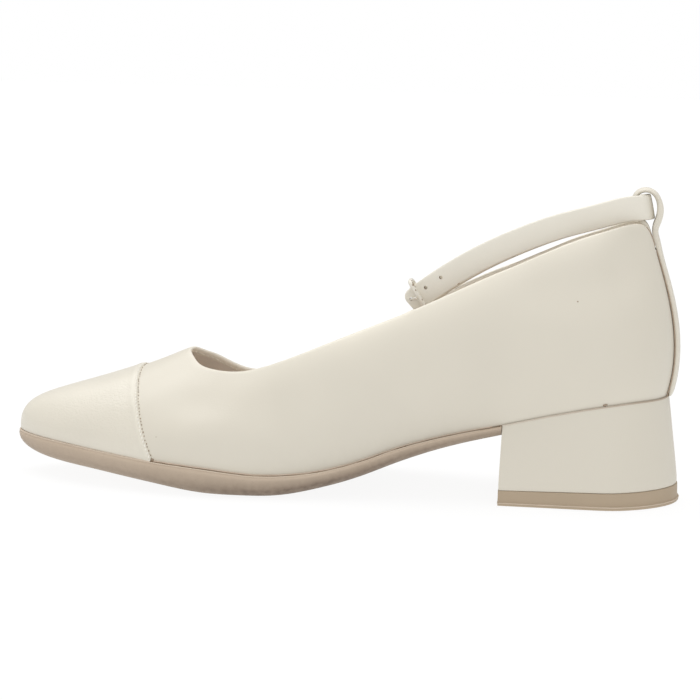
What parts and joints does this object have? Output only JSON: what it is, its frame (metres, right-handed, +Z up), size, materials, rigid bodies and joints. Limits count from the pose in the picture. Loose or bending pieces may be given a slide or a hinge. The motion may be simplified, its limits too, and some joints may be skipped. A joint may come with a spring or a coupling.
{
  "type": "low heel shoe",
  "caption": "Pointed low heel shoe for a right foot: hollow upper with a toe cap, moulded sole, covered block heel, back loop and a buckled ankle strap.",
  "frame": {"origin": "centre of the bounding box seen from above, on the floor under the sole", "axes": "+X from the toe to the heel, +Y from the inner side of the foot to its outer side, +Z up"},
  "size_m": [0.2528, 0.08, 0.1167],
  "materials": {
    "outsole_taupe": "matte moulded rubber",
    "heel_cream": "smooth synthetic leather cover",
    "lift_taupe": "matte moulded rubber",
    "upper_cream": "smooth synthetic leather, soft sheen",
    "cap_cream": "finely grained glossy synthetic leather",
    "strip_cream": "smooth synthetic leather",
    "insole_beige": "matte synthetic leather",
    "strap_cream": "smooth synthetic leather",
    "buckle_cream": "cream enamel",
    "prong_cream": "cream enamel"
  },
  "bodies": {
    "root": {"outsole": "outsole_taupe", "heel_block": "heel_cream", "heel_top_lift": "lift_taupe", "upper": "upper_cream", "toe_cap": "cap_cream", "back_strip": "strip_cream", "insole": "insole_beige", "ankle_strap": "strap_cream", "buckle_frame": "buckle_cream", "buckle_prong": "prong_cream"}
  },
  "joints": []
}
